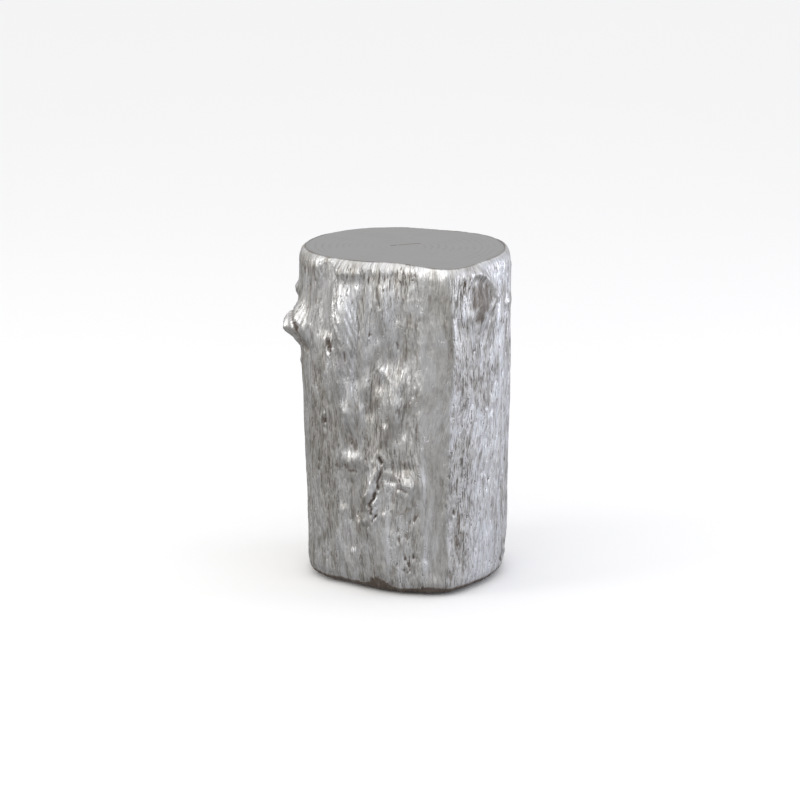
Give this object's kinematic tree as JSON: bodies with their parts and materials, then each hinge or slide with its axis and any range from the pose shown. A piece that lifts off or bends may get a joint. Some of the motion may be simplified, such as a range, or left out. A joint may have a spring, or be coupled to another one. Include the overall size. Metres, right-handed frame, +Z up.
{
  "type": "log stool",
  "caption": "Stool or low side table cast as a sawn log in aged silver leaf, hollow on an inner frame, with a flat top and levelling glides.",
  "frame": {"origin": "on the floor, under the middle of the stool's bounding box, with the glides screwed right in", "axes": "+Z up; -Y towards the viewer, with the log's front corner to the right of it; the broken branch points to -X"},
  "size_m": [0.3276, 0.3286, 0.483],
  "materials": {
    "leafed_resin": "aged silver leaf over cast resin, brown glaze in the cracks",
    "leafed_top": "satin silver leaf over cast resin",
    "plywood": "sanded birch plywood",
    "fibreboard": "dark stained fibreboard",
    "post_timber": "planed softwood",
    "yellow_zinc": "yellow zinc plated steel screw",
    "bright_zinc": "bright zinc plated steel",
    "nylon": "black moulded nylon",
    "sole_rubber": "matt rubber"
  },
  "bodies": {
    "stool": {"bark_shell": "leafed_resin", "top_cap": "leafed_top", "seat_board": "plywood", "seat_ring": "plywood", "base_ring": "plywood", "base_panel": "fibreboard", "seat_screws": "yellow_zinc", "post_screws": "yellow_zinc", "base_screws": "yellow_zinc", "post_1": "post_timber", "post_2": "post_timber", "post_3": "post_timber", "post_4": "post_timber", "tee_nut_1": "bright_zinc", "tee_nut_2": "bright_zinc", "tee_nut_3": "bright_zinc", "tee_nut_4": "bright_zinc"},
    "front_glide": {"glide_foot_1": "nylon", "glide_sole_1": "sole_rubber"},
    "front_stem": {"glide_stem_1": "bright_zinc"},
    "right_glide": {"glide_foot_2": "nylon", "glide_sole_2": "sole_rubber"},
    "right_stem": {"glide_stem_2": "bright_zinc"},
    "back_glide": {"glide_foot_3": "nylon", "glide_sole_3": "sole_rubber"},
    "back_stem": {"glide_stem_3": "bright_zinc"},
    "left_glide": {"glide_foot_4": "nylon", "glide_sole_4": "sole_rubber"},
    "left_stem": {"glide_stem_4": "bright_zinc"}
  },
  "joints": [
    {"name": "front_glide_height", "type": "slide", "parent": "stool", "child": "front_glide", "axis": [0, 0, -1], "range_m": [0, 0.01]},
    {"name": "front_stem_turn", "type": "hinge", "parent": "front_glide", "child": "front_stem", "pos_m": [0.01206, -0.09751, 0], "axis": [0, 0, -1], "range_deg": [0, 2880]},
    {"name": "right_glide_height", "type": "slide", "parent": "stool", "child": "right_glide", "axis": [0, 0, -1], "range_m": [0, 0.01]},
    {"name": "right_stem_turn", "type": "hinge", "parent": "right_glide", "child": "right_stem", "pos_m": [0.11591, 0.00635, 0], "axis": [0, 0, -1], "range_deg": [0, 2880]},
    {"name": "back_glide_height", "type": "slide", "parent": "stool", "child": "back_glide", "axis": [0, 0, -1], "range_m": [0, 0.01]},
    {"name": "back_stem_turn", "type": "hinge", "parent": "back_glide", "child": "back_stem", "pos_m": [0.01206, 0.1102, 0], "axis": [0, 0, -1], "range_deg": [0, 2880]},
    {"name": "left_glide_height", "type": "slide", "parent": "stool", "child": "left_glide", "axis": [0, 0, -1], "range_m": [0, 0.01]},
    {"name": "left_stem_turn", "type": "hinge", "parent": "left_glide", "child": "left_stem", "pos_m": [-0.0918, 0.00635, 0], "axis": [0, 0, -1], "range_deg": [0, 2880]}
  ],
  "couplings": [
    {"joint": "front_stem_turn", "follows": "front_glide_height", "rad_per_m": 5026.5},
    {"joint": "right_stem_turn", "follows": "right_glide_height", "rad_per_m": 5026.5},
    {"joint": "back_stem_turn", "follows": "back_glide_height", "rad_per_m": 5026.5},
    {"joint": "left_stem_turn", "follows": "left_glide_height", "rad_per_m": 5026.5}
  ]
}
